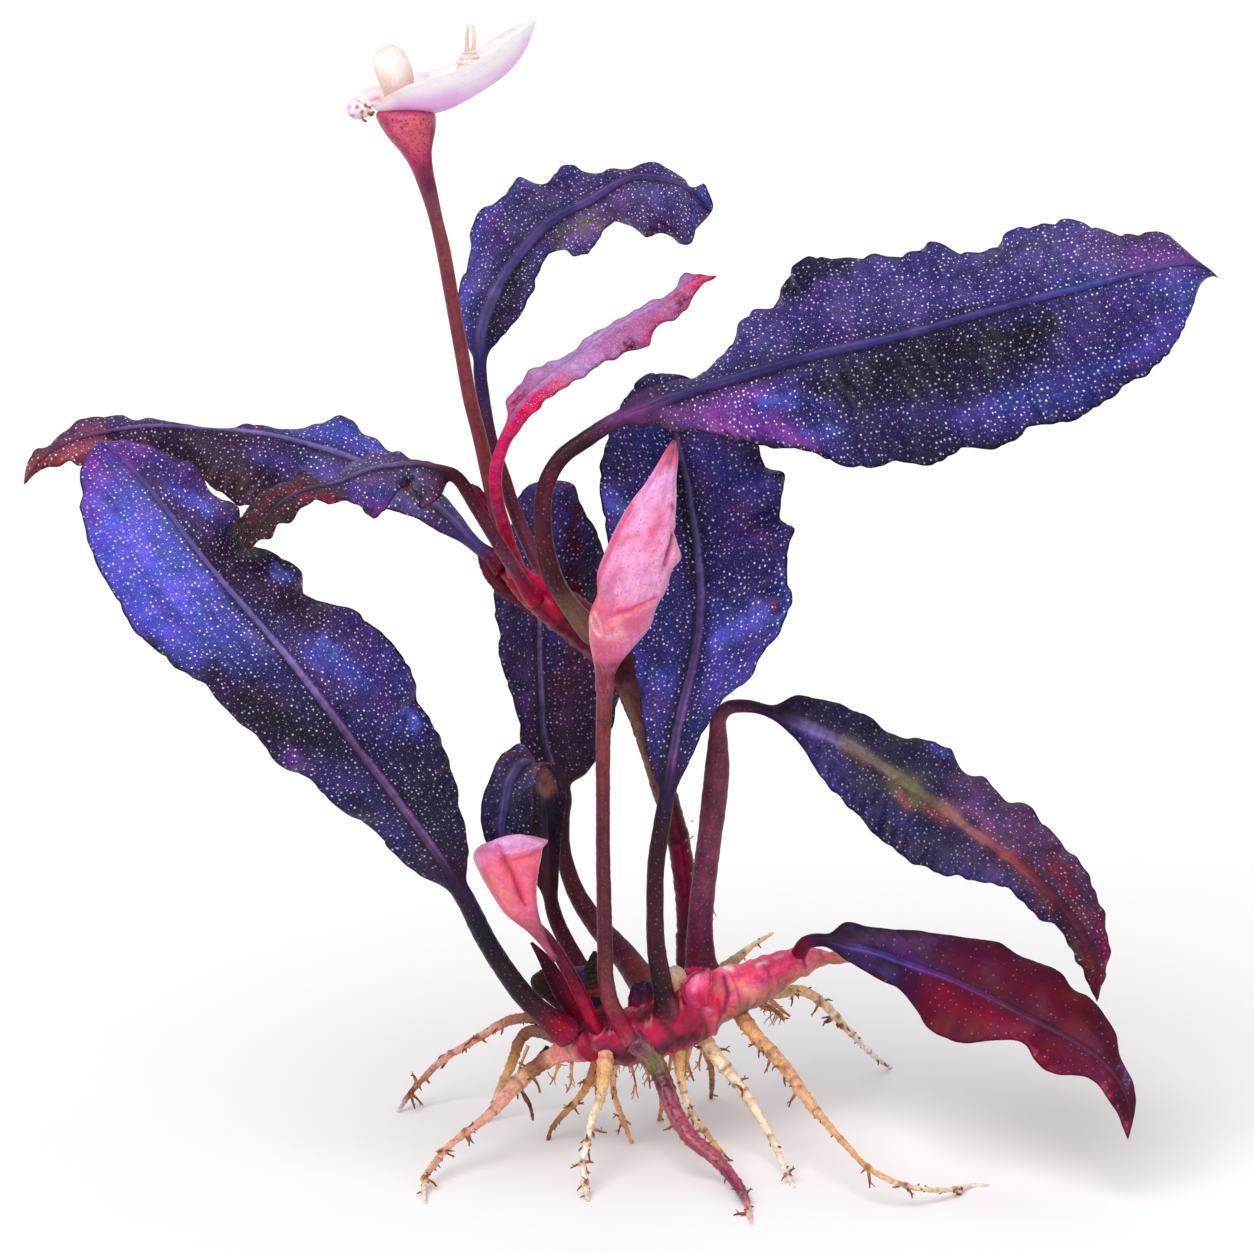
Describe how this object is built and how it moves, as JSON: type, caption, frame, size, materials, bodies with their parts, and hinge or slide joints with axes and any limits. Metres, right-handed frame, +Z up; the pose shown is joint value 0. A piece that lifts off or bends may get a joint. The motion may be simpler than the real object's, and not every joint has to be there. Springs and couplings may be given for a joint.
{
  "type": "bucephalandra plant",
  "caption": "Small unpotted aquarium plant with a creeping rhizome, long wavy speckled leaves, an open flower, buds and wiry roots that it stands on.",
  "frame": {"origin": "on the surface it stands on, under the middle of the plant's overall box", "axes": "+Z up, +X to the right as one looks at the front of the open flower and leaves, +Y away from the viewer"},
  "size_m": [0.1397, 0.0596, 0.1406],
  "materials": {
    "leaf_blue": "satin, speckled with pale dots",
    "leaf_dark": "satin, speckled with pale dots",
    "leaf_red": "satin, sparsely dotted",
    "leaf_pink": "satin",
    "stem_crimson": "satin, moist",
    "stem_maroon": "satin, finely speckled",
    "rhizome_pink": "glossy, moist, with leaf scars",
    "spathe_white": "soft satin, faintly translucent",
    "spathe_pink": "soft satin, mottled",
    "spadix_cream": "matte, beaded",
    "root_pale": "matte, fibrous",
    "root_maroon": "glossy, moist",
    "stub_brown": "dry, rough"
  },
  "bodies": {
    "root": {"rhizome": "rhizome_pink", "rising_shoot": "stem_crimson", "leaf_left_big": "leaf_blue", "leaf_left_far": "leaf_blue", "leaf_left_withered": "leaf_dark", "leaf_top": "leaf_blue", "leaf_young_pink": "leaf_pink", "leaf_right_big": "leaf_blue", "leaf_centre": "leaf_blue", "leaf_right_drooping": "leaf_dark", "leaf_right_red": "leaf_red", "leaf_back_dark": "leaf_dark", "leaf_curled_small": "leaf_dark", "flower_open_stalk": "stem_maroon", "flower_open_spathe": "spathe_white", "flower_open_spadix": "spadix_cream", "flower_open_cone": "spadix_cream", "flower_open_knob": "spathe_pink", "large_bud_stalk": "stem_maroon", "large_bud": "spathe_pink", "small_bud_stalk": "stem_crimson", "small_bud": "spathe_pink", "small_bud_bract": "leaf_dark", "crown_bract": "stem_crimson", "crown_bud": "stem_crimson", "stub_left": "stub_brown", "stub_middle": "leaf_dark", "stub_right": "leaf_dark", "stub_pale": "root_pale", "scale_brown": "stub_brown", "scale_pink": "rhizome_pink", "root_left_high": "root_pale", "root_left_thick": "root_pale", "root_left_short": "root_pale", "root_left_thin": "stub_brown", "root_middle_tan": "root_pale", "root_middle_pale": "root_pale", "root_middle_thin": "root_pale", "root_maroon": "root_maroon", "root_pale_behind": "root_pale", "root_thin_behind": "root_pale", "root_right_near": "root_pale", "root_right_small": "root_pale", "root_right_long": "root_pale", "root_right_far": "root_pale", "root_right_up": "root_pale", "root_right_bunch": "root_pale"}
  },
  "joints": []
}
